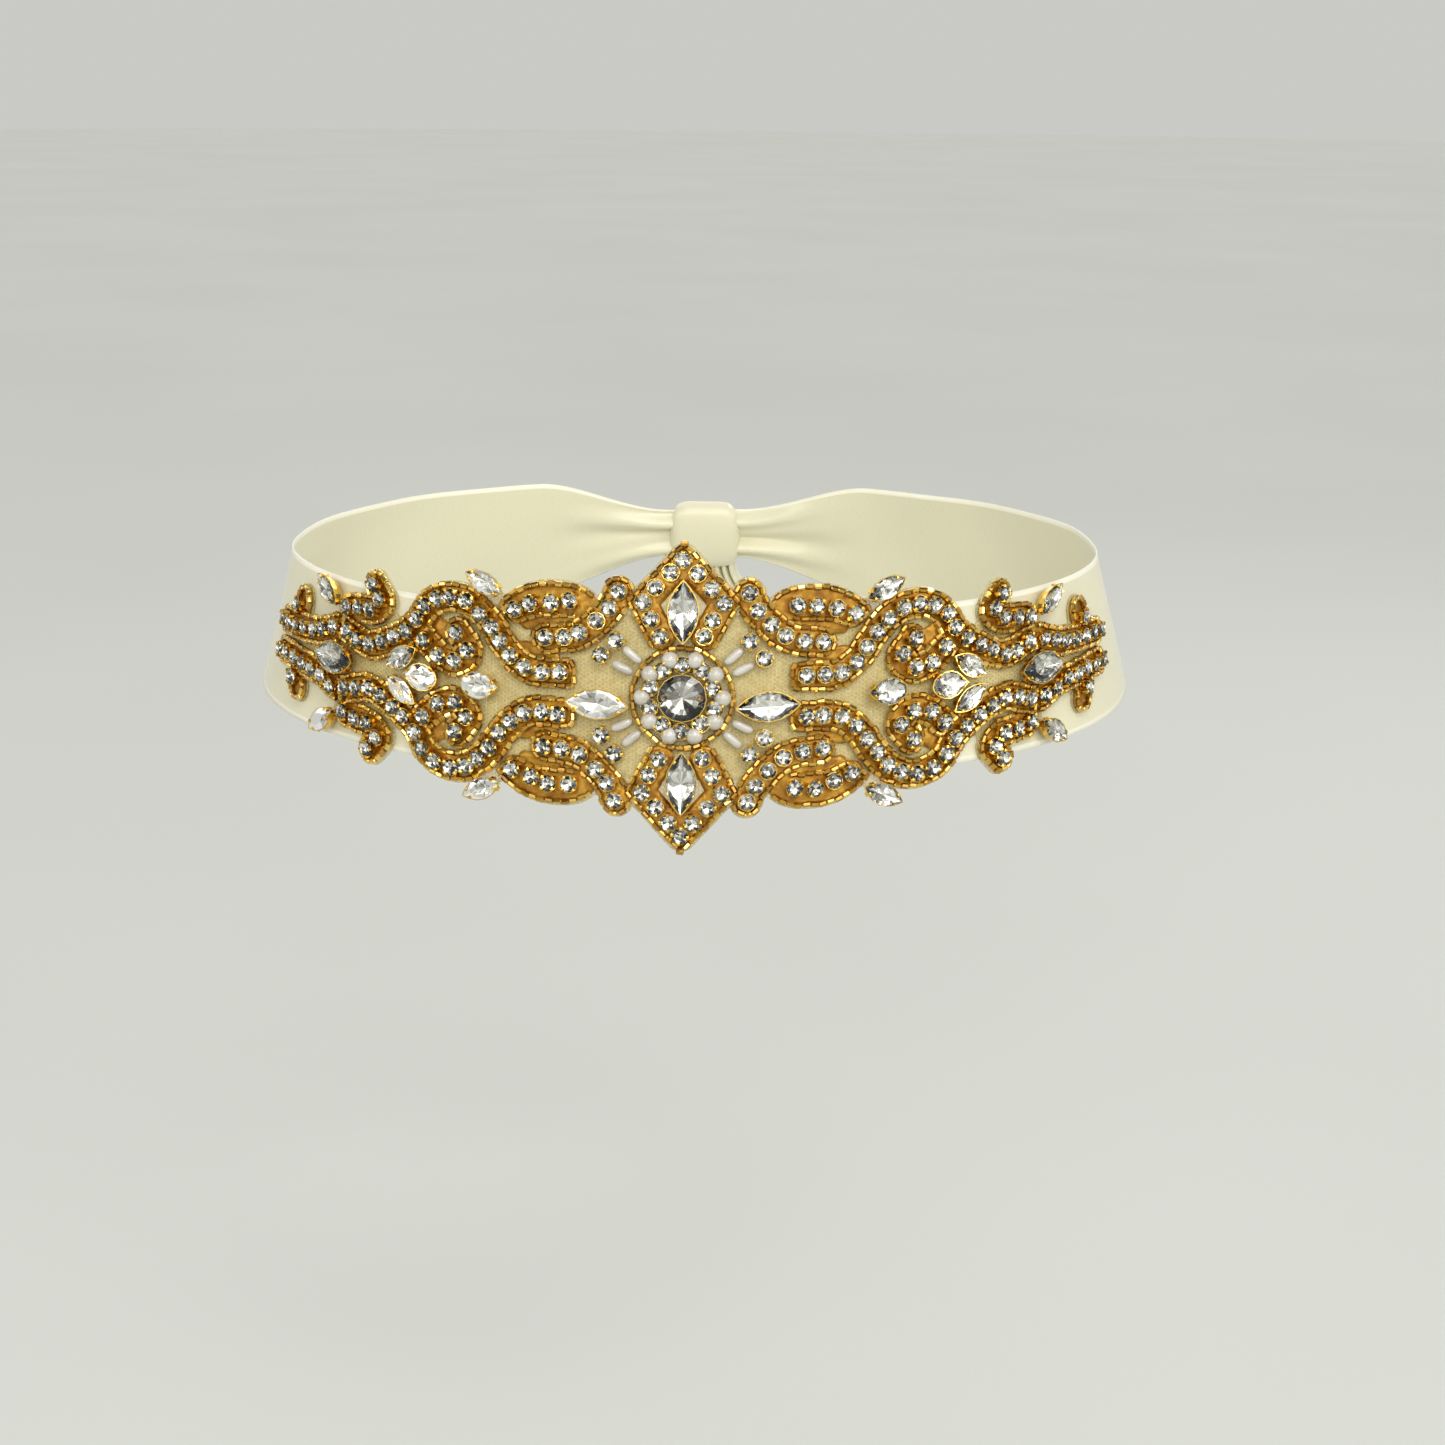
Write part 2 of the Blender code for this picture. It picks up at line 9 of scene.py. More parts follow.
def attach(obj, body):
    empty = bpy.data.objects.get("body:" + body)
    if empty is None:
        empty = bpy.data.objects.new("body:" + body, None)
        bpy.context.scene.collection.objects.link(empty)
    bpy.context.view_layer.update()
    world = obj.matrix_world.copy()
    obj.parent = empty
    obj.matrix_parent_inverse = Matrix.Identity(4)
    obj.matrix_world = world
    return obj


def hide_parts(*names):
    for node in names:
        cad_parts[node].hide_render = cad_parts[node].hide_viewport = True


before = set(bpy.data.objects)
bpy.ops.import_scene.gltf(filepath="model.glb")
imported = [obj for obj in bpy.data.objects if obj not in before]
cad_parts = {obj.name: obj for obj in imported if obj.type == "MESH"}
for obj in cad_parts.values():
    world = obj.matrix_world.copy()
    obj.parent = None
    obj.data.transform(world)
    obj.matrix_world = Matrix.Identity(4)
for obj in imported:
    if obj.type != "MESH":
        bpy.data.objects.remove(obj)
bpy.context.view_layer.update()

# The ribbon band: one length of ivory double-face satin ribbon, 38 mm wide with woven edges, laid flat round the
# waist and drawn into folds as it nears the knot at the back. A place on it is u along the waist from the centre
# front, v up its slant and w out from the middle of the wall, all in millimetres.
MM = 0.001
WAIST_HALF_WIDTH = 110.0
WAIST_HALF_DEPTH = 85.8
WAIST_FLARE = 0.26
WAIST_SLANT = math.hypot(1.0, WAIST_FLARE)
RIBBON_WIDTH = 38.0
RIBBON_FACE = 0.6
RIBBON_THICKNESS = 0.4
GATHERED_WIDTH = 16.0
GATHER_REACH = 42.0
KNOT_WIDTH = 21.0
KNOT_OUT = 2.6

ROUND = np.linspace(0.0, math.tau, 2881)
ROUND_SPEED = np.hypot(WAIST_HALF_WIDTH * np.cos(ROUND), WAIST_HALF_DEPTH * np.sin(ROUND))
ROUND_LENGTH = np.concatenate(([0.0], np.cumsum((ROUND_SPEED[1:] + ROUND_SPEED[:-1]) / 2.0 * ROUND[1])))
WAIST_LENGTH = ROUND_LENGTH[-1]
BACK = WAIST_LENGTH / 2.0


def on_waist(u, v, w):
    """Places on the worn cloth, in metres, from arrays of u, v and w."""
    u, v, w = np.broadcast_arrays(u, v, w)
    angle = np.interp(np.mod(u, WAIST_LENGTH), ROUND_LENGTH, ROUND)
    z = v / WAIST_SLANT
    wide = WAIST_HALF_WIDTH - WAIST_FLARE * z
    deep = WAIST_HALF_DEPTH - WAIST_FLARE * z
    sine, cosine = np.sin(angle), np.cos(angle)
    rise = WAIST_FLARE * (wide * cosine * cosine + deep * sine * sine)
    outward = np.stack([deep * sine, -wide * cosine, rise], -1)
    outward /= np.linalg.norm(outward, axis=-1, keepdims=True)
    return (np.stack([wide * sine, -deep * cosine, z], -1) + outward * w[..., None]) * MM


def smooth_step(value):
    value = np.clip(value, 0.0, 1.0)
    return value * value * (3.0 - 2.0 * value)


def move_all(bm, points):
    for vert, point in zip(bm.verts, points):
        vert.co = point


def piece(name, bm, finish, smooth=True):
    """A finished mesh made into a piece of the sash."""
    mesh = bpy.data.meshes.new(name)
    bm.to_mesh(mesh)
    bm.free()
    mesh.materials.append(finish)
    mesh.polygons.foreach_set("use_smooth", [smooth] * len(mesh.polygons))
    made = bpy.data.objects.new(name, mesh)
    bpy.context.scene.collection.objects.link(made)
    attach(made, "root")
    return made


def cloth_strip(name, columns, rows, shape, finish):
    """A thin ribbon through shape(along, across), with along from -1 to 1 and across from -1 to 1."""
    bm = bmesh.new()
    bmesh.ops.create_grid(bm, x_segments=columns, y_segments=rows, size=1.0)
    flat = np.array([vert.co for vert in bm.verts])
    u, v, w = shape(flat[:, 0], flat[:, 1])
    cloth = bm.loops.layers.uv.new("cloth")
    for face in bm.faces:
        for loop in face.loops:
            spot = loop.vert.co
            loop[cloth].uv = (spot.x * columns, spot.y * 28.0)
    move_all(bm, on_waist(u, v, w))
    bm.normal_update()
    if sum(face.normal.xy.dot(face.calc_center_median().xy) for face in bm.faces) < 0.0:
        bmesh.ops.reverse_faces(bm, faces=bm.faces)
    made = piece(name, bm, finish)
    wall = made.modifiers.new("wall", "SOLIDIFY")
    wall.thickness = RIBBON_THICKNESS * MM
    wall.offset = -1.0
    return made


def new_finish(name, colour, roughness, metallic=0.0):
    finish = bpy.data.materials.new(name)
    finish.use_nodes = True
    shader = finish.node_tree.nodes["Principled BSDF"]
    shader.inputs["Base Color"].default_value = (*colour, 1.0)
    shader.inputs["Roughness"].default_value = roughness
    shader.inputs["Metallic"].default_value = metallic
    return finish, finish.node_tree.nodes, finish.node_tree.links, shader


def colour_by(finish, source, stops):
    """Colours of the finish blended through stops of (position, colour) by a texture's value."""
    nodes, links = finish.node_tree.nodes, finish.node_tree.links
    ramp = nodes.new("ShaderNodeValToRGB")
    while len(ramp.color_ramp.elements) < len(stops):
        ramp.color_ramp.elements.new(0.5)
    for element, (position, colour) in zip(ramp.color_ramp.elements, stops):
        element.position = position
        element.color = (*colour, 1.0)
    links.new(source, ramp.inputs["Fac"])
    links.new(ramp.outputs["Color"], nodes["Principled BSDF"].inputs["Base Color"])


def noise(finish, scale, stretch=(1.0, 1.0, 1.0), detail=2.0, uv=None):
    """Noise on the object's own coordinates in metres, or on the cloth's along and across."""
    nodes, links = finish.node_tree.nodes, finish.node_tree.links
    if uv:
        coords = nodes.new("ShaderNodeUVMap")
        coords.uv_map = uv
        source = coords.outputs["UV"]
    else:
        source = nodes.new("ShaderNodeTexCoord").outputs["Object"]
    mapping = nodes.new("ShaderNodeMapping")
    mapping.inputs["Scale"].default_value = stretch
    texture = nodes.new("ShaderNodeTexNoise")
    texture.inputs["Scale"].default_value = scale
    texture.inputs["Detail"].default_value = detail
    links.new(source, mapping.inputs["Vector"])
    links.new(mapping.outputs["Vector"], texture.inputs["Vector"])
    return texture.outputs["Fac"]


def bump_by(finish, source, strength, distance):
    nodes, links = finish.node_tree.nodes, finish.node_tree.links
    bump = nodes.new("ShaderNodeBump")
    bump.inputs["Strength"].default_value = strength
    bump.inputs["Distance"].default_value = distance
    links.new(source, bump.inputs["Height"])
    links.new(bump.outputs["Normal"], nodes["Principled BSDF"].inputs["Normal"])


satin, nodes, links, shader = new_finish("ivory_satin", (0.73, 0.69, 0.49), 0.3)
shader.inputs["Sheen Weight"].default_value = 0.25
shader.inputs["Sheen Roughness"].default_value = 0.4
shader.inputs["Anisotropic"].default_value = 0.4
shader.inputs["Specular IOR Level"].default_value = 0.6
satin_threads = noise(satin, 1.0, (0.5, 6.0, 1.0), 3.0, "cloth")
colour_by(satin, satin_threads, ((0.25, (0.665, 0.625, 0.42)), (0.5, (0.73, 0.69, 0.49)), (0.8, (0.77, 0.735, 0.555))))
bump_by(satin, satin_threads, 0.25, 0.00005)
cloth_place = nodes.new("ShaderNodeUVMap")
cloth_place.uv_map = "cloth"
cloth_sides = nodes.new("ShaderNodeSeparateXYZ")
from_middle = nodes.new("ShaderNodeMath")
from_middle.operation = "ABSOLUTE"
selvedge = nodes.new("ShaderNodeMapRange")
selvedge.inputs["From Min"].default_value = 25.9
selvedge.inputs["From Max"].default_value = 26.2
edging = nodes.new("ShaderNodeMix")
edging.data_type = "RGBA"
edging.inputs["B"].default_value = (0.85, 0.82, 0.66, 1.0)
links.new(cloth_place.outputs["UV"], cloth_sides.inputs["Vector"])
links.new(cloth_sides.outputs["Y"], from_middle.inputs[0])
links.new(from_middle.outputs["Value"], selvedge.inputs["Value"])
links.new(selvedge.outputs["Result"], edging.inputs["Factor"])
links.new(shader.inputs["Base Color"].links[0].from_socket, edging.inputs["A"])
links.new(edging.outputs["Result"], shader.inputs["Base Color"])


def band_shape(along, across):
    """Full width from the front, then drawn into folds; woven edges stand a little proud of the face."""
    u = along * (BACK - KNOT_WIDTH / 2.0 + 3.0)
    gather = smooth_step((np.abs(u) - (BACK - KNOT_WIDTH / 2.0 - GATHER_REACH)) / GATHER_REACH)
    half = (RIBBON_WIDTH + (GATHERED_WIDTH - RIBBON_WIDTH) * gather) / 2.0
    fold = gather * (1.4 * np.cos(2.0 * math.pi * (across + 1.0)) + 0.7 * np.cos(11.0 * across + 0.05 * u))
    edge = 0.12 * np.exp(-((1.0 - np.abs(across)) * RIBBON_WIDTH / 2.0 / 0.5) ** 2)
    away = smooth_step((np.abs(u) - 105.0) / 30.0)
    ease = away * (0.35 * np.sin(u / 17.0 + 2.2 * across) + 0.2 * np.sin(u / 6.3 - 1.7 * across))
    return u, across * half, RIBBON_FACE + KNOT_OUT * gather * 0.5 + fold + edge + ease * (1.0 - gather)


band = cloth_strip("ribbon", 560, 28, band_shape, satin)
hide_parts("ribbon_band")

# The knot: the ribbon's two ends are crossed and tied flat at the centre back. What shows is the wrap, with soft
# folds that run up over it.
KNOT_HEIGHT = 21.0
KNOT_DEPTH = 10.0
bm = bmesh.new()
bmesh.ops.create_uvsphere(bm, u_segments=120, v_segments=90, radius=1.0)
raw = np.array([vert.co for vert in bm.verts])
dx, dy, dw = (np.sign(c) * np.abs(c) ** power for c, power in ((raw[:, 2], 0.36), (raw[:, 0], 0.8), (raw[:, 1], 0.7)))
over = smooth_step(dw)
bent = dx * (1.0 + 0.25 * dy * dy) - 0.16 * dy
layer = 0.9 * smooth_step((bent - 0.1) / 0.1 + 0.5)
fold = (0.6 * np.cos(8.0 * bent) + 0.65 * np.cos(13.5 * bent + 0.6) + layer - 0.9) * over
move_all(bm, on_waist(BACK + dx * KNOT_WIDTH / 2.0, dy * KNOT_HEIGHT / 2.0, KNOT_OUT + dw * KNOT_DEPTH / 2.0 + fold))
bmesh.ops.recalc_face_normals(bm, faces=bm.faces)
knot = piece("knot", bm, satin)
knot.data.uv_layers.new(name="cloth")
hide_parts("ribbon_knot")

# The tails: the two trimmed ends of the ribbon below the knot. They come out of it in tight folds, open to the
# ribbon's full width and are cut on a slant.
TAIL_LENGTH = 64.0
TAIL_CUT = 9.0


def tail_shape(side):
    def shape(along, across):
        share = (along + 1.0) / 2.0
        opened = smooth_step(share * 1.75 - 0.05)
        half = (8.4 + 29.6 * opened) / 2.0
        centre = side * (4.5 + 17.3 * opened)
        wide_fold = 1.5 * np.cos(1.5 * math.pi * (across * side + 1.0)) * (1.0 - 0.45 * share) * opened
        tight_fold = 1.7 * (1.0 - opened) * np.cos(4.0 * math.pi * across)
        edge = 0.12 * np.exp(-((1.0 - np.abs(across)) * 19.0 / 0.5) ** 2)
        v = -7.5 - (TAIL_LENGTH + 3.3 + TAIL_CUT * across * side) * share
        return BACK - centre - across * half, v, KNOT_OUT + wide_fold + tight_fold + edge
    return shape


for tail_name, tail_side in (("left", 1.0), ("right", -1.0)):
    tail = cloth_strip(f"tail_{tail_name}", 60, 72, tail_shape(tail_side), satin)
    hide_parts(f"ribbon_tail_{tail_name}")

# The net: fine clear tulle that carries the whole applique. It is cut a millimetre outside the bead lines and
# sewn to the ribbon's face. The rows of stones below lie on it, drawn for one quarter and mirrored to the others.
NET_FACE = 1.05
NET_THICKNESS = 0.2
STRIP_EDGE = 3.4
CENTRE_DISC = 12.0
ROWS = (
    ("diamond", 6, ((0.0, 31.6), (9.0, 21.8), (4.9, 13.9))),
    ("scallop", 6, ((14.8, 24.0), (16.9, 19.8), (23.5, 13.8), (31.6, 12.4))),
    ("crest", 4, ((25.6, 21.0), (32.5, 20.6), (39.0, 18.3))),
    ("wave", 18, ((28.0, 4.6), (35.2, 4.8), (40.6, 8.6), (45.6, 15.2), (50.6, 18.9), (56.2, 19.6),
                  (61.6, 17.2), (65.5, 12.0), (72.0, 7.7), (79.5, 5.1), (86.6, 6.8))),
    ("swirl", 5, ((62.0, 8.6), (58.2, 5.6), (54.0, 4.7), (50.6, 7.6), (53.5, 11.7))),
    ("hook", 5, ((86.8, 12.6), (82.4, 13.1), (78.1, 13.7), (75.7, 16.1), (78.3, 19.4))),
    ("prong", 7, ((91.8, 7.1), (98.6, 4.9), (105.0, 4.2), (117.4, 3.7))),
    ("curl", 1, ((109.6, 7.6), (108.6, 10.6))),
)
NET_OUTLINE = ((0.0, 33.0), (10.0, 23.0), (13.5, 25.5), (20.5, 17.5), (26.0, 21.5), (38.0, 19.5),
               (47.0, 24.0), (56.0, 19.0), (67.0, 11.5), (75.0, 14.5), (86.8, 13.0), (94.5, 15.8),
               (92.0, 9.0), (106.0, 5.0), (109.5, 9.0), (112.0, 4.2), (117.5, 3.0), (117.5, 0.0), (0.0, 0.0))

CREST_LINE = ((22.6, 18.2), (19.8, 20.6), (20.6, 22.4), (23.4, 24.2), (27.0, 25.0), (31.5, 25.0), (36.0, 24.0),
              (39.8, 22.0), (42.6, 19.4), (41.2, 17.6), (38.6, 15.9), (33.8, 17.5), (28.4, 17.8), (22.6, 18.2))


def on_front(x, y, w):
    """Places of the flat applique laid on the front of the waist, in metres."""
    narrowing = (WAIST_HALF_WIDTH - WAIST_FLARE * y / WAIST_SLANT) / WAIST_HALF_WIDTH
    return on_waist(x / narrowing, y, w)


def smooth_curve(points, steps=24):
    """Points close together on a smooth curve through the given ones."""
    given = np.array(points)
    ends = np.vstack([given[0] * 2.0 - given[1], given, given[-1] * 2.0 - given[-2]])
    t = np.linspace(0.0, 1.0, steps, endpoint=False)[:, None]
    parts = [0.5 * (2.0 * b + (c - a) * t + (2.0 * a - 5.0 * b + 4.0 * c - d) * t * t
                    + (3.0 * b - a - 3.0 * c + d) * t ** 3)
             for a, b, c, d in zip(ends, ends[1:], ends[2:], ends[3:])]
    return np.vstack(parts + [given[-1:]])


def spread(line, spots):
    """Points and directions at distances along a line of close points."""
    lengths = np.concatenate(([0.0], np.cumsum(np.linalg.norm(np.diff(line, axis=0), axis=1))))
    x, y = (np.interp(spots, lengths, line[:, i]) for i in (0, 1))
    ahead, behind = np.minimum(spots + 0.3, lengths[-1]), np.maximum(spots - 0.3, 0.0)
    dx, dy = (np.interp(ahead, lengths, line[:, i]) - np.interp(behind, lengths, line[:, i]) for i in (0, 1))
    return np.stack([x, y], 1), np.arctan2(dy, dx), lengths[-1]


def row_line(name, points):
    """The middle line of a row. The diamond's sides are straight."""
    if name == "diamond":
        corners = np.array(points)
        steps = np.linspace(0.0, 1.0, 24)[:, None]
        return np.vstack([corners[0] + (corners[1] - corners[0]) * steps,
                          corners[1] + (corners[2] - corners[1]) * steps[1:]])
    return smooth_curve(points)


def distance_to_line(x, y, line):
    """Distance from each place to the nearest part of a line."""
    best = np.full(x.shape, 1e9)
    for a, b in zip(line, line[1:]):
        along = b - a
        share = np.clip(((x - a[0]) * along[0] + (y - a[1]) * along[1]) / max(1e-9, along @ along), 0.0, 1.0)
        best = np.minimum(best, np.hypot(x - a[0] - share * along[0], y - a[1] - share * along[1]))
    return best


def inside_by(x, y, outline):
    """How far inside a closed outline each place is, less than nothing outside."""
    ring = np.array(outline)
    closed = np.vstack([ring, ring[:1]])
    away = distance_to_line(x, y, closed)
    crossings = np.zeros(x.shape, int)
    for a, b in zip(closed, closed[1:]):
        if a[1] != b[1]:
            passes = (a[1] > y) != (b[1] > y)
            crossings += passes & (x < a[0] + (y - a[1]) * (b[0] - a[0]) / (b[1] - a[1]))
    return np.where(crossings % 2 == 1, away, -away)


LINES = {name: row_line(name, points) for name, _, points in ROWS}


def inside_strips(x, y, half_width):
    return half_width - np.min([distance_to_line(x, y, line) for line in LINES.values()], axis=0)


def cut_sheet(inside, step, height, thickness):
    """A flat quarter sheet cut along inside(x, y) = 0, mirrored to the other quarters and laid on the front at a
    height.
    """
    across, up = 121.0, 37.0
    bm = bmesh.new()
    bmesh.ops.create_grid(bm, x_segments=round(across / step), y_segments=round(up / step), size=0.5)
    bmesh.ops.translate(bm, verts=bm.verts, vec=(0.5, 0.5, 0.0))
    bmesh.ops.scale(bm, verts=bm.verts, vec=(across, up, 1.0))
    for _ in range(2):
        spots = np.array([face.calc_center_median() for face in bm.faces])
        kept = inside(spots[:, 0], spots[:, 1]) > 0.0
        outside = [face for face, keep in zip(bm.faces, kept) if not keep]
        bmesh.ops.delete(bm, geom=outside, context="FACES")
        rim = [vert for vert in bm.verts if vert.is_boundary]
        for _ in range(3):
            spots = np.array([vert.co for vert in rim])
            x, y = spots[:, 0], spots[:, 1]
            value = inside(x, y)
            slope_x = (inside(x + 0.05, y) - inside(x - 0.05, y)) / 0.1
            slope_y = (inside(x, y + 0.05) - inside(x, y - 0.05)) / 0.1
            push = np.clip(-value, -step, step) / np.maximum(0.3, slope_x ** 2 + slope_y ** 2)
            for vert, dx, dy in zip(rim, slope_x * push, slope_y * push):
                if vert.co.x > 1e-4:
                    vert.co.x = max(0.0, vert.co.x + dx)
                if vert.co.y > 1e-4:
                    vert.co.y = max(0.0, vert.co.y + dy)
    for axis in ("X", "Y"):
        bmesh.ops.mirror(bm, geom=bm.verts[:] + bm.edges[:] + bm.faces[:], axis=axis, merge_dist=0.001)
        bmesh.ops.remove_doubles(bm, verts=bm.verts, dist=0.001)
    bmesh.ops.recalc_face_normals(bm, faces=bm.faces)
    bm.normal_update()
    if sum(face.normal.z for face in bm.faces) < 0.0:
        bmesh.ops.reverse_faces(bm, faces=bm.faces)
    cloth = bm.loops.layers.uv.new("cloth")
    for face in bm.faces:
        for loop in face.loops:
            loop[cloth].uv = loop.vert.co.xy
    area = sum(face.calc_area() for face in bm.faces)
    flat = np.array([vert.co for vert in bm.verts])
    move_all(bm, on_front(flat[:, 0], flat[:, 1], np.full(len(flat), height)))
    return bm, area


def net_inside(x, y):
    strips = inside_strips(x, y, STRIP_EDGE + 0.45)
    crest = inside_by(x, y, smooth_curve(CREST_LINE, 6)) + 1.0
    disc = CENTRE_DISC + 0.5 - np.hypot(x, y)
    return np.max([strips, disc, crest, inside_by(x, y, NET_OUTLINE)], axis=0)


# The tulle's gold-brown colour is partly the net's own gold tint and partly painted shade and painted gold reflection
# from the beads and stones around it.
tulle, nodes, links, shader = new_finish("tulle_gold_tint_and_painted_shade", (0.74, 0.60, 0.25), 0.5)
flat_net = nodes.new("ShaderNodeUVMap")
flat_net.uv_map = "cloth"
lattice = None
for turn in (0.0, 60.0, 120.0):
    turned = nodes.new("ShaderNodeMapping")
    turned.inputs["Rotation"].default_value = (0.0, 0.0, math.radians(turn))
    wave = nodes.new("ShaderNodeTexWave")
    wave.inputs["Scale"].default_value = 0.36
    links.new(flat_net.outputs["UV"], turned.inputs["Vector"])
    links.new(turned.outputs["Vector"], wave.inputs["Vector"])
    if lattice:
        both = nodes.new("ShaderNodeMath")
        links.new(lattice, both.inputs[0])
        links.new(wave.outputs["Fac"], both.inputs[1])
        lattice = both.outputs["Value"]
    else:
        lattice = wave.outputs["Fac"]
threads = nodes.new("ShaderNodeMapRange")
for socket, value in (("From Min", 1.80), ("From Max", 1.95), ("To Min", 0.34), ("To Max", 0.62)):
    threads.inputs[socket].default_value = value
links.new(lattice, threads.inputs["Value"])
links.new(threads.outputs["Result"], shader.inputs["Alpha"])
# Both stops hold the same painted shade and painted gold reflection; the noise only varies the tone at random.
colour_by(tulle, noise(tulle, 900.0), ((0.3, (0.66, 0.52, 0.17)), (0.7, (0.82, 0.69, 0.33))))
bm, net_area = cut_sheet(net_inside, 1.0, NET_FACE, NET_THICKNESS)
net = piece("net", bm, tulle)
net_wall = net.modifiers.new("wall", "SOLIDIFY")
net_wall.thickness = NET_THICKNESS * MM
net_wall.offset = -1.0
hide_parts("applique")

# The gold ground: glossy gold-coated backing between and under the bead lines, where the net is filled with gold
# thread and clear glue. It shows amber between the lines.
GROUND_FACE = 1.6
FILLED = (((25.0, 17.0), (36.5, 15.6), 1.6), ((30.0, 8.6), (37.0, 10.0), 1.4), ((20.5, 19.0), (25.0, 17.0), 1.8),
          ((57.5, 11.5), (60.5, 13.0), 2.0))


def ground_inside(x, y):
    strips = inside_strips(x, y, STRIP_EDGE - 0.3)
    between = [reach - distance_to_line(x, y, np.array([start, end])) for start, end, reach in FILLED]
    crest = inside_by(x, y, smooth_curve(CREST_LINE, 6)) + 0.2
    return np.max([strips, crest, *between], axis=0)


# The ground's own colour is amber; its stops are darkened further as painted shade for the contact shadows between the
# parts.
amber, nodes, links, shader = new_finish("amber_ground_and_painted_shade", (0.70, 0.30, 0.03), 0.34, 0.55)
amber_mottle = noise(amber, 420.0, detail=4.0)
colour_by(amber, amber_mottle, ((0.3, (0.24, 0.095, 0.008)), (0.5, (0.41, 0.195, 0.014)), (0.72, (0.60, 0.35, 0.045))))
bump_by(amber, amber_mottle, 0.5, 0.0003)
bm, ground_area = cut_sheet(ground_inside, 0.8, GROUND_FACE, 0.5)
ground = piece("gold_ground", bm, amber)
ground_wall = ground.modifiers.new("wall", "SOLIDIFY")
ground_wall.thickness = 0.5 * MM
ground_wall.offset = -1.0
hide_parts("applique")

# The bead lines: short gold-lined glass tube beads, strung and couched down end to end in a closed line round
# every row of stones and round the centre disc.
BEAD_LENGTH = 1.78
BEAD_PITCH = 1.95
BEAD_WIDTH = 1.45
BEAD_LEVEL = 2.15
LINE_OFFSET = 3.0
QUARTERS = ((1, 1), (-1, 1), (1, -1), (-1, -1))
chance = np.random.default_rng(7)


def line_round(line, offset, squareness):
    """The closed line at an offset round an open one, with rounded ends and no crossings at tight bends."""
    spots = np.linspace(0.0, np.linalg.norm(np.diff(line, axis=0), axis=1).sum(), 160)
    middle, heading, _ = spread(line, spots)
    side = np.stack([-np.sin(heading), np.cos(heading)], 1) * offset
    sweep = np.linspace(math.pi / 2.0, -math.pi / 2.0, 14)[1:-1, None]
    square = np.minimum(squareness, 1.0 / np.maximum(np.abs(np.cos(sweep)), np.abs(np.sin(sweep))))
    ends = []
    for place, turn in ((middle[-1], heading[-1]), (middle[0], heading[0] + math.pi)):
        round_end = np.hstack([np.cos(turn + sweep), np.sin(turn + sweep)])
        ends.append(place + offset * square * round_end)
    ring = np.vstack([middle + side, ends[0], (middle - side)[::-1], ends[1]])
    kept = distance_to_line(ring[:, 0], ring[:, 1], line) > offset - 0.12
    ring = ring[kept]
    return np.vstack([ring, ring[:1]])


def beads_on(line):
    """Bead places evenly along a line: x, y and heading."""
    _, _, total = spread(line, np.array([0.0]))
    count = max(1, round(total / BEAD_PITCH))
    spots, heading, _ = spread(line, (np.arange(count) + 0.5) * total / count)
    return np.column_stack([spots, heading])


def round_stone_places():
    """Centres of the round stones in the first quarter, with the heading of their row."""
    found = []
    for name, count, _ in ROWS:
        line = LINES[name]
        total = np.linalg.norm(np.diff(line, axis=0), axis=1).sum()
        if name == "diamond":
            side = np.linalg.norm(line[23] - line[0])
            steps = np.concatenate([np.linspace(0.0, side, 4), side + (total - side) * np.array([0.5, 1.0])])
        elif count == 1:
            steps = np.array([0.3 * total])
        else:
            steps = np.linspace(0.0, total, count)
        spots, heading, _ = spread(line, steps)
        found += [(x, y, turn, name) for (x, y), turn in zip(spots, heading)]
    found += [(15.1, 12.9, 0.7, "lone"), (18.3, 9.1, 0.5, "lone")]
    return found


row_stones = []
for x, y, turn, name in round_stone_places():
    for flip_x, flip_y in QUARTERS:
        spot = (x * flip_x, y * flip_y)
        if all(math.dist(spot, other[:2]) > 1.0 for other in row_stones):
            row_stones.append((*spot, turn * flip_x * flip_y))
stone_spots = np.array(row_stones)[:, :2]

circle = np.linspace(0.0, math.tau, 121)
loops = [("disc", np.stack([11.45 * np.cos(circle), 11.45 * np.sin(circle)], 1))]
tip, corner, foot = (np.array(point) for point in ROWS[0][2])
diamond_edge = np.array([(-6.9, 11.4), (-7.9, 13.2), (-12.5, 22.0), (-9.5, 25.4), (0.0, 35.4),
                         (9.5, 25.4), (12.5, 22.0), (7.9, 13.2), (6.9, 11.4)])
diamond_edge = np.vstack([a + (b - a) * np.linspace(0, 1, 12)[:, None] for a, b in zip(diamond_edge, diamond_edge[1:])])
loops.append(("diamond", diamond_edge))
for name, _, _ in ROWS[1:]:
    squareness = 1.25 if name == "wave" else 1.0
    loops.append((name, smooth_curve(CREST_LINE) if name == "crest" else line_round(LINES[name], LINE_OFFSET, squareness)))
loops.append(("swirl core", smooth_curve(((60.4, 12.0), (59.3, 9.6), (56.9, 8.3), (54.6, 8.2)))))
beads = np.zeros((0, 3))
for name, loop in loops:
    mirrored = [(1, 1)] if name == "disc" else [(1, 1), (1, -1)] if name == "diamond" else QUARTERS
    laid = beads_on(loop)
    if name not in ("disc",):
        others = [line for other, line in LINES.items() if other not in name]
        clear = np.min([distance_to_line(laid[:, 0], np.abs(laid[:, 1]), line) for line in others], axis=0) > 2.2
        if name == "diamond":
            clear &= np.hypot(laid[:, 0], laid[:, 1]) > 12.4
        else:
            clear &= (np.hypot(laid[:, 0], laid[:, 1]) > 12.6) & (laid[:, 0] > 0.4) & (laid[:, 1] > 0.4)
        laid = laid[clear]
    new = np.vstack([laid * (flip_x, flip_y, flip_x * flip_y) for flip_x, flip_y in mirrored])
    if len(beads):
        gaps = np.hypot(new[:, None, 0] - beads[None, :, 0], new[:, None, 1] - beads[None, :, 1]).min(axis=1)
        new = new[gaps > 1.2]
    free = np.hypot(new[:, None, 0] - stone_spots[None, :, 0], new[:, None, 1] - stone_spots[None, :, 1]).min(axis=1)
    beads = np.vstack([beads, new[free > 2.35]])


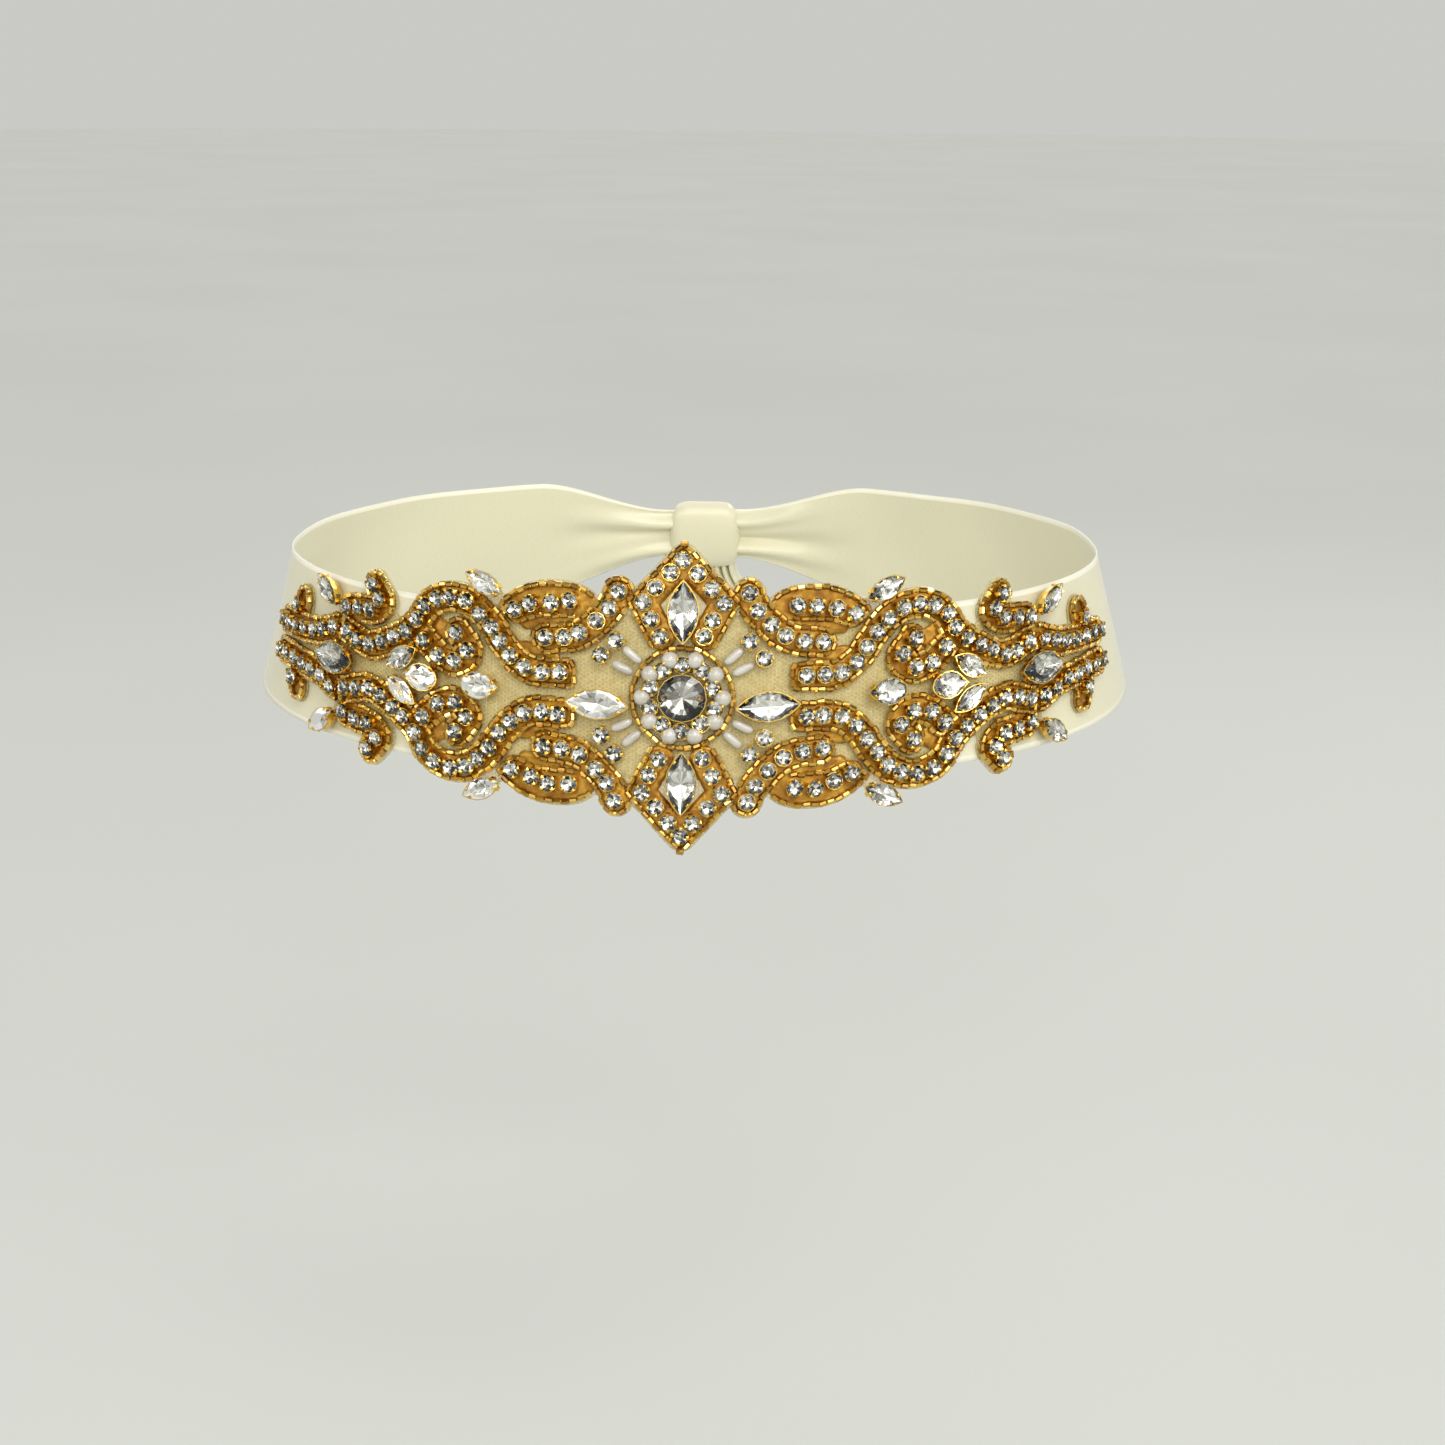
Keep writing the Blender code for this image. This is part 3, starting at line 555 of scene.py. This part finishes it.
def set_many(name, pattern, places, finishes, smooth):
    """One mesh of many copies of a small pattern. A place is x, y, height, turn and two small leans."""
    pattern.verts.index_update()
    corners = np.array([vert.co for vert in pattern.verts])
    sides = [[vert.index for vert in face.verts] for face in pattern.faces]
    finish_of = [face.material_index for face in pattern.faces]
    x, y, w, turn, lean, roll = (column[:, None] for column in np.array(places).T)
    px, py, pz = (corners[None, :, i] for i in range(3))
    px, pz = px * np.cos(lean) + pz * np.sin(lean), pz * np.cos(lean) - px * np.sin(lean)
    py, pz = py * np.cos(roll) + pz * np.sin(roll), pz * np.cos(roll) - py * np.sin(roll)
    px, py = px * np.cos(turn) - py * np.sin(turn), px * np.sin(turn) + py * np.cos(turn)
    points = on_front(x + px, y + py, w + pz).reshape(-1, 3)
    count, size = len(places), len(corners)
    faces = [[i + k * size for i in side] for k in range(count) for side in sides]
    mesh = bpy.data.meshes.new(name)
    mesh.from_pydata(points.tolist(), [], faces)
    for finish in finishes:
        mesh.materials.append(finish)
    mesh.polygons.foreach_set("material_index", finish_of * count)
    mesh.polygons.foreach_set("use_smooth", [smooth] * len(faces))
    mesh.set_sharp_from_angle(angle=math.radians(42.0))
    tint = mesh.attributes.new("tint", "FLOAT", "POINT")
    tint.data.foreach_set("value", np.repeat(chance.random(count), size).astype(np.float32))
    # A random shade per face; on the silvered facets it sets each facet's painted reflection or painted shade.
    shade = mesh.attributes.new("shade", "FLOAT", "FACE")
    shade.data.foreach_set("value", chance.random(len(faces)).astype(np.float32))
    made = bpy.data.objects.new(name, mesh)
    bpy.context.scene.collection.objects.link(made)
    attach(made, "root")
    pattern.free()
    return made


gold_glass, nodes, links, shader = new_finish("gold_lined_glass_and_painted_shade", (0.86, 0.56, 0.13), 0.16, 0.9)
shader.inputs["Coat Weight"].default_value = 1.0
shader.inputs["Coat Roughness"].default_value = 0.06
tint = nodes.new("ShaderNodeAttribute")
tint.attribute_name = "tint"
# All three stops are darkened beyond the beads' own gold as painted shade for the contact shadows between the parts;
# the tint only varies the tone from bead to bead at random.
colour_by(gold_glass, tint.outputs["Fac"],
          ((0.0, (0.40, 0.20, 0.015)), (0.5, (0.58, 0.34, 0.035)), (1.0, (0.84, 0.58, 0.13))))
bead = bmesh.new()
bmesh.ops.create_cone(bead, cap_ends=True, segments=8, radius1=BEAD_WIDTH / 2, radius2=BEAD_WIDTH / 2, depth=BEAD_LENGTH)
rims = [edge for edge in bead.edges if abs(edge.verts[0].co.z - edge.verts[1].co.z) < 1e-4]
bmesh.ops.bevel(bead, geom=rims, offset=0.18, segments=1, affect="EDGES", profile=0.5, material=-1)
bmesh.ops.rotate(bead, verts=bead.verts, matrix=Matrix.Rotation(math.pi / 2, 3, "Y"))
wobble = chance.normal(0.0, 1.0, (len(beads), 4))
bead_places = np.column_stack([beads[:, 0] + 0.09 * wobble[:, 0], beads[:, 1] + 0.09 * wobble[:, 1],
                               np.full(len(beads), BEAD_LEVEL), beads[:, 2] + 0.07 * wobble[:, 2],
                               0.05 * wobble[:, 3], 0.5 * wobble[:, 2]])
bead_lines = set_many("bead_lines", bead, bead_places, [gold_glass], True)
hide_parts("applique")

# The round stones: 4 mm cut glass chatons with a silvered back, each held by four claws in a stamped brass cup
# that is plated gold and sewn down in rows.
CUP_BASE = 1.65
RING_STONES = 10
RING_RADIUS = 7.65
for i in range(RING_STONES):
    angle = math.tau * (i + 0.5) / RING_STONES
    row_stones.append((RING_RADIUS * math.cos(angle), RING_RADIUS * math.sin(angle), angle))
lean = chance.normal(0.0, 0.055, (len(row_stones), 2))
astray = chance.normal(0.0, 0.13, (len(row_stones), 2))
stone_places = np.column_stack([np.array(row_stones)[:, :2] + astray, np.full(len(row_stones), CUP_BASE),
                                np.array(row_stones)[:, 2] + chance.normal(0.0, 0.12, len(row_stones)), lean])

plating, nodes, links, shader = new_finish("gold_plated_brass", (0.93, 0.66, 0.22), 0.18, 1.0)
colour_by(plating, noise(plating, 700.0), ((0.3, (0.70, 0.42, 0.06)), (0.7, (0.90, 0.64, 0.18))))
# Its mottle from grey to near white is painted reflection on a foil that is one even silver.
foil, nodes, links, shader = new_finish("silvered_back", (0.86, 0.85, 0.83), 0.06, 1.0)
colour_by(foil, noise(foil, 900.0), ((0.35, (0.40, 0.39, 0.38)), (0.6, (0.95, 0.94, 0.92))))
# Each facet's colour, picked by its random shade value, runs from near black to white: painted reflection and painted
# glints on the light facets, painted shade on the dark ones, on a foil that is one even silver.
painted_light_facets, nodes, links, shader = new_finish("silvered_facets_painted_light", (0.7, 0.7, 0.68), 0.1, 1.0)
shade = nodes.new("ShaderNodeAttribute")
shade.attribute_name = "shade"
colour_by(painted_light_facets, shade.outputs["Fac"], ((0.12, (0.05, 0.045, 0.03)), (0.45, (0.50, 0.48, 0.42)), (0.75, (1.0, 0.99, 0.94))))
glass, nodes, links, shader = new_finish("cut_glass", (0.97, 0.98, 0.98), 0.015)
shader.inputs["Transmission Weight"].default_value = 1.0
shader.inputs["IOR"].default_value = 1.56
colour_by(glass, noise(glass, 500.0), ((0.3, (0.96, 0.96, 0.95)), (0.7, (1.0, 1.0, 1.0))))


def lofted(rings):
    """A closed faceted form drawn up through rings of (outline, height), capped at both ends."""
    bm = bmesh.new()
    ring = bmesh.ops.create_circle(bm, cap_ends=True, segments=len(rings[0][0]), radius=1.0)["verts"]
    edges = bm.edges[:]
    for number, (outline, height) in enumerate(rings):
        if number > 0:
            drawn = bmesh.ops.extrude_edge_only(bm, edges=edges)["geom"]
            fresh = {item for item in drawn if isinstance(item, bmesh.types.BMVert)}
            ring = [next(edge.other_vert(vert) for edge in vert.link_edges if edge.other_vert(vert) in fresh)
                    for vert in ring]
            edges = [edge for edge in bm.edges if edge.verts[0] in fresh and edge.verts[1] in fresh]
        for vert, (x, y) in zip(ring, outline):
            vert.co = (x, y, height)
    bmesh.ops.contextual_create(bm, geom=edges)
    bmesh.ops.recalc_face_normals(bm, faces=bm.faces)
    return bm


def circle_outline(radius, sides, turn=0.0):
    return [(radius * math.cos(turn + math.tau * i / sides), radius * math.sin(turn + math.tau * i / sides))
            for i in range(sides)]


cup = lofted([(circle_outline(1.45, 12), 0.0), (circle_outline(1.98, 12), 1.3), (circle_outline(2.04, 12), 1.95),
              (circle_outline(1.94, 12), 1.95), (circle_outline(1.2, 12), 0.7)])
cups = set_many("stone_cups", cup, stone_places, [plating], False)
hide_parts("applique")

claws = bmesh.new()
for i in range(4):
    made = bmesh.ops.create_cube(claws, size=1.0)["verts"]
    for vert in made:
        high = vert.co.z > 0.0
        vert.co = Vector((1.42 if high and vert.co.x < 0 else 2.12 if high else 1.9 if vert.co.x < 0 else 2.3,
                          vert.co.y * (0.78 if high else 0.95), 2.5 if high else 0.8))
    top = max({face for vert in made for face in vert.link_faces}, key=lambda face: face.calc_center_median().z)
    peak = bmesh.ops.poke(claws, faces=[top])["verts"]
    bmesh.ops.translate(claws, verts=peak, vec=(0.0, 0.0, 0.24))
    bmesh.ops.rotate(claws, verts=made + peak, matrix=Matrix.Rotation(math.pi / 4 + i * math.pi / 2, 3, "Z"))
bmesh.ops.recalc_face_normals(claws, faces=claws.faces)
stone_claws = set_many("stone_claws", claws, stone_places, [plating], False)
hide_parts("applique")

chaton = lofted([(circle_outline(0.05, 8, math.pi / 8), 1.62), (circle_outline(1.05, 8, math.pi / 8), 1.88),
                 (circle_outline(1.98, 8), 2.08), (circle_outline(1.98, 8), 2.16),
                 (circle_outline(1.18, 8, math.pi / 8), 2.56)])
bmesh.ops.triangulate(chaton, faces=[face for face in chaton.faces if len(face.verts) == 4])
for face in chaton.faces:
    face.material_index = int(face.calc_center_median().z < 2.07)
stone_glass = set_many("round_stones", chaton, stone_places, [glass, painted_light_facets], False)
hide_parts("applique")

# The pearls: ten round pearl beads tucked behind the ring of stones, and eight long rice pearls sewn in pairs that
# fan out from the centre disc. They are moulded beads with a pearl coating.
pearl_coat, nodes, links, shader = new_finish("pearl_coat", (0.66, 0.63, 0.56), 0.16)
shader.inputs["Coat Weight"].default_value = 1.0
shader.inputs["Coat Roughness"].default_value = 0.1
colour_by(pearl_coat, noise(pearl_coat, 260.0), ((0.3, (0.46, 0.43, 0.36)), (0.7, (0.62, 0.59, 0.52))))
ball = bmesh.new()
bmesh.ops.create_icosphere(ball, subdivisions=3, radius=2.02)
places = []
for i in range(RING_STONES):
    angle = math.tau * i / RING_STONES
    places.append((9.05 * math.cos(angle), 9.05 * math.sin(angle), 2.8, 0.0, 0.0, 0.0))
ring_pearls = set_many("ring_pearls", ball, places, [pearl_coat], True)
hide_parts("applique")

rice = bmesh.new()
bmesh.ops.create_uvsphere(rice, u_segments=16, v_segments=12, radius=1.0)
for vert in rice.verts:
    blunt = math.sqrt(max(0.0, 1.0 - abs(vert.co.z) ** 3.5) / max(1e-6, 1.0 - vert.co.z ** 2))
    vert.co = (vert.co.z * 2.65, vert.co.x * blunt * 1.05, vert.co.y * blunt * 1.05)
bmesh.ops.recalc_face_normals(rice, faces=rice.faces)
places = [(x * fx, y * fy, 2.4, math.radians(turn) * fx * fy, 0.0, 0.0)
          for x, y, turn in ((11.5, 9.6, 40.0), (13.7, 6.6, 26.0)) for fx, fy in QUARTERS]
rice_pearls = set_many("rice_pearls", rice, places, [pearl_coat], True)
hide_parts(*[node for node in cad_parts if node.startswith("rice_pearl")])

# The large stones: cut glass in long, pointed, drop and round shapes with silvered backs, each in its own gold
# plated claw cup, sewn on through the net.
CUTS = {
    "chaton": (11.0, 11.0, 3.6, 16, 0.0, 0.0),
    "marquise": (14.4, 7.0, 3.4, 16, 1.0, 1.0),
    "navette": (10.0, 5.0, 2.9, 16, 1.0, 1.0),
    "eye": (13.6, 7.6, 3.2, 16, 0.7, 0.7),
    "pear": (9.4, 6.4, 3.2, 16, 2.0, 0.0),
}
SIDES = {"none": ((1, 1, ""),), "rise": ((1, 1, "_upper"), (1, -1, "_lower")), "side": ((1, 1, "_left"), (-1, 1, "_right")),
         "all": ((1, 1, "_upper_left"), (-1, 1, "_upper_right"), (1, -1, "_lower_left"), (-1, -1, "_lower_right"))}
SETTINGS = (
    ("centre_stone", "chaton", 0.0, 0.0, 0.0, "none", 1.6),
    ("petal", "marquise", 0.0, 19.6, 90.0, "rise", 1.4),
    ("wing_petal", "marquise", 19.2, -2.0, 3.0, "side", 1.4),
    ("drop", "pear", 46.8, 0.0, 0.0, "side", 1.4),
    ("bud", "pear", 62.6, 0.0, 180.0, "side", 1.4),
    ("bud_leaf", "navette", 68.1, 3.8, -32.0, "all", 1.6),
    ("eye", "eye", 90.2, 0.0, 0.0, "side", 1.4),
    ("outer_leaf", "navette", 46.2, 23.8, 25.0, "all", 1.6),
    ("end_leaf", "navette", 94.0, 15.6, 36.0, "all", 1.4),
)


def stone_outline(cut, scale, turned=0.0):
    """The stone's outline about its centre, head towards +x."""
    length, width, _, sides, tail_point, head_point = CUTS[cut]
    outline = []
    for i in range(sides):
        angle = math.tau * (i + turned) / sides
        cosine, sine = math.cos(angle), math.sin(angle)
        point = head_point if cosine > 0.0 else tail_point
        sharp = math.copysign(abs(sine) ** (1.0 + 0.9 * point), sine)
        outline.append((cosine * length / 2.0 * scale, sharp * width / 2.0 * scale))
    return outline


def place_form(bm, x, y, turn, flip_x, flip_y, height):
    """A flat-built form turned, mirrored, put in its place and bent to the waist."""
    cosine, sine = math.cos(math.radians(turn)), math.sin(math.radians(turn))
    flat = np.array([vert.co for vert in bm.verts])
    px = (x + flat[:, 0] * cosine - flat[:, 1] * sine) * flip_x
    py = (y + flat[:, 0] * sine + flat[:, 1] * cosine) * flip_y
    move_all(bm, on_front(px, py, height + flat[:, 2]))
    bmesh.ops.recalc_face_normals(bm, faces=bm.faces)


# Dark brown: the thread in the centre stone's sew holes, darkened as painted shade inside the holes.
thread_and_hole_shade, nodes, links, shader = new_finish("thread_and_painted_hole_shade", (0.30, 0.20, 0.10), 0.35, 0.6)
colour_by(thread_and_hole_shade, noise(thread_and_hole_shade, 1500.0), ((0.35, (0.12, 0.08, 0.05)), (0.65, (0.42, 0.30, 0.14))))
for name, cut, x, y, turn, mirror, base in SETTINGS:
    length, width, height, _, tail_point, head_point = CUTS[cut]
    girdle = 3.2 + height * 0.45 - base
    pointed = cut == "chaton"
    crown = ((0.78, 0.5, 0.5), (0.5, 0.0, 0.85)) if not pointed else ((0.6, 0.5, 0.75), (0.02, 0.0, 1.25))
    for flip_x, flip_y, side in SIDES[mirror]:
        stone = lofted([(stone_outline(cut, 0.03), girdle - 0.9), (stone_outline(cut, 0.45, 0.5), girdle - 0.5),
                        (stone_outline(cut, 0.96), girdle - 0.05), (stone_outline(cut, 0.96), girdle + 0.1),
                        *((stone_outline(cut, scale, turned), girdle + rise) for scale, turned, rise in crown)])
        bmesh.ops.triangulate(stone, faces=[face for face in stone.faces if len(face.verts) == 4])
        for face in stone.faces:
            face.material_index = int(face.calc_center_median().z < girdle - 0.06)
        place_form(stone, x, y, turn, flip_x, flip_y, base)
        made = piece(f"{name}{side}_glass", stone, glass, smooth=False)
        made.data.materials.append(painted_light_facets)
        # A random shade per facet of the silvered back, for its painted reflection or painted shade; the other stones
        # get lighter ones than the centre stone.
        shade = made.data.attributes.new("shade", "FLOAT", "FACE")
        darkest, spread_up = (0.1, 0.6) if pointed else (0.35, 0.65)
        shades = darkest + spread_up * chance.random(len(made.data.polygons))
        shade.data.foreach_set("value", shades.astype(np.float32))
        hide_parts(f"{name}{side}")
        setting = lofted([(stone_outline(cut, 0.72), 0.0), (stone_outline(cut, 0.99), girdle * 0.6),
                          (stone_outline(cut, 1.0 if pointed else 1.03), girdle + 0.05),
                          (stone_outline(cut, 0.97), girdle + 0.05), (stone_outline(cut, 0.6), 0.15)])
        claw_angles = () if pointed else (math.pi / 4, 3 * math.pi / 4, 5 * math.pi / 4, 7 * math.pi / 4)
        for angle in claw_angles:
            cosine, sine = math.cos(angle), math.sin(angle)
            point = head_point if cosine > 0.0 else tail_point
            sharp = math.copysign(abs(sine) ** (1.0 + 0.9 * point), sine)
            px, py = cosine * length / 2.0, sharp * width / 2.0
            claw = bmesh.ops.create_cube(setting, size=1.0)["verts"]
            faces = {face for vert in claw for face in vert.link_faces}
            for vert in claw:
                high = vert.co.z > 0.0
                reach = (-0.55 if high else 0.0) + (0.32 if vert.co.x > 0.0 else -0.1)
                vert.co = Vector((reach, vert.co.y * (0.8 if high else 1.1), girdle + 0.62 if high else girdle * 0.5))
            top = max(faces, key=lambda face: face.calc_center_median().z)
            peak = bmesh.ops.poke(setting, faces=[top])["verts"]
            bmesh.ops.translate(setting, verts=peak, vec=(0.0, 0.0, 0.22))
            out = math.atan2(py / width ** 2, px / length ** 2)
            bmesh.ops.rotate(setting, verts=claw + peak, matrix=Matrix.Rotation(out, 3, "Z"))
            bmesh.ops.translate(setting, verts=claw + peak, vec=(px, py, 0.0))
        place_form(setting, x, y, turn, flip_x, flip_y, base)
        piece(f"{name}{side}_cup", setting, plating, smooth=False)
        if pointed:
            holes = bmesh.new()
            for across in (3.9, -3.9):
                bmesh.ops.create_cone(holes, cap_ends=True, segments=16, radius1=0.85, radius2=0.75, depth=0.7,
                                      matrix=Matrix.Translation((across, 0.0, girdle + 0.62)))
            rims = [face for face in holes.faces if face.normal.z > 0.9]
            bmesh.ops.inset_individual(holes, faces=rims, thickness=0.2, depth=0.0)
            bmesh.ops.translate(holes, verts=[vert for face in rims for vert in face.verts], vec=(0.0, 0.0, -0.4))
            place_form(holes, x, y, turn, flip_x, flip_y, base)
            piece("centre_stone_holes", holes, thread_and_hole_shade)

# The floor: one plain pale grey sheet, wide enough to fill the view from every side.
FLOOR_LEVEL = -0.34
bm = bmesh.new()
bmesh.ops.create_circle(bm, cap_ends=True, segments=96, radius=14.0)
bmesh.ops.translate(bm, verts=bm.verts, vec=(0.0, 0.0, FLOOR_LEVEL))
paper, nodes, links, shader = new_finish("pale_paper", (0.62, 0.63, 0.62), 0.95)
shader.inputs["Specular IOR Level"].default_value = 0.0
colour_by(paper, noise(paper, 2.0), ((0.3, (0.62, 0.63, 0.59)), (0.7, (0.64, 0.65, 0.61))))
mesh = bpy.data.meshes.new("floor")
bm.to_mesh(mesh)
bm.free()
mesh.materials.append(paper)
floor = bpy.data.objects.new("floor", mesh)
bpy.context.scene.collection.objects.link(floor)

# The light: a pale room with a brighter band above eye level and a dark ceiling, a broad soft light from above, a soft box over the camera and
# smaller ones at the front and both sides that the cut stones catch.
world = bpy.data.worlds.new("room")
bpy.context.scene.world = world
world.use_nodes = True
nodes, links = world.node_tree.nodes, world.node_tree.links
room = nodes.new("ShaderNodeTexCoord")
height = nodes.new("ShaderNodeSeparateXYZ")
walls = nodes.new("ShaderNodeValToRGB")
WALL_SHADES = ((0.2, 0.59), (0.28, 1.15), (0.48, 1.15), (0.62, 0.08))
while len(walls.color_ramp.elements) < len(WALL_SHADES):
    walls.color_ramp.elements.new(0.5)
for element, (position, shade) in zip(walls.color_ramp.elements, WALL_SHADES):
    element.position = position
    element.color = (shade * 0.99, shade, shade * 0.955, 1.0)
links.new(room.outputs["Generated"], height.inputs["Vector"])
links.new(height.outputs["Z"], walls.inputs["Fac"])
links.new(walls.outputs["Color"], nodes["Background"].inputs["Color"])


def lamp(name, kind, place, power, size=None, angle=None):
    """A soft lamp that points at the sash."""
    light = bpy.data.lights.new(name, kind)
    light.energy = power
    if size:
        light.shape = "RECTANGLE"
        light.size, light.size_y = size
    if angle:
        light.angle = math.radians(angle)
    made = bpy.data.objects.new(name, light)
    made.location = place
    made.rotation_euler = (-Vector(place)).to_track_quat("-Z", "Y").to_euler()
    bpy.context.scene.collection.objects.link(made)


lamp("ceiling_light", "SUN", (0.0, 0.1, 2.0), 0.38, angle=75.0)
lamp("front_daylight", "SUN", (0.5, -1.5, 1.5), 1.35, angle=60.0)
lamp("back_daylight", "SUN", (-0.4, 1.5, 1.3), 0.55, angle=60.0)
lamp("back_box", "AREA", (0.6, 1.1, 0.75), 2.2, size=(0.3, 0.3))
lamp("key_box", "AREA", (0.35, -0.9, 1.0), 2.6, size=(0.32, 0.28))
lamp("front_box", "AREA", (-0.25, -1.3, 0.55), 1.5, size=(0.22, 0.22))
lamp("left_box", "AREA", (1.2, -0.7, 0.35), 1.8, size=(0.16, 0.5))
lamp("right_box", "AREA", (-1.2, -0.7, 0.45), 1.8, size=(0.16, 0.5))
bpy.context.scene.view_settings.view_transform = "Standard"

# The camera: at the photograph's height and angle, a little above the waist and looking down at it.
CAMERA_YAW, CAMERA_PITCH, CAMERA_ROLL = math.radians(0.77 - 1.87), math.radians(17.28), math.radians(0.52)
ahead = Vector((math.sin(CAMERA_YAW) * math.cos(CAMERA_PITCH), math.cos(CAMERA_YAW) * math.cos(CAMERA_PITCH),
                -math.sin(CAMERA_PITCH)))
right = Vector((math.cos(CAMERA_YAW), -math.sin(CAMERA_YAW), 0.0))
up = right.cross(ahead)
right, up = (right * math.cos(CAMERA_ROLL) + up * math.sin(CAMERA_ROLL),
             up * math.cos(CAMERA_ROLL) - right * math.sin(CAMERA_ROLL))
camera_data = bpy.data.cameras.new("camera")
camera_data.lens = 53.53
camera_data.sensor_width = 36.0
camera = bpy.data.objects.new("camera", camera_data)
camera.matrix_world = Matrix.Translation((0.0183, -0.5593, 0.1415)) @ Matrix((right, up, -ahead)).transposed().to_4x4()
bpy.context.scene.collection.objects.link(camera)
bpy.context.scene.camera = camera
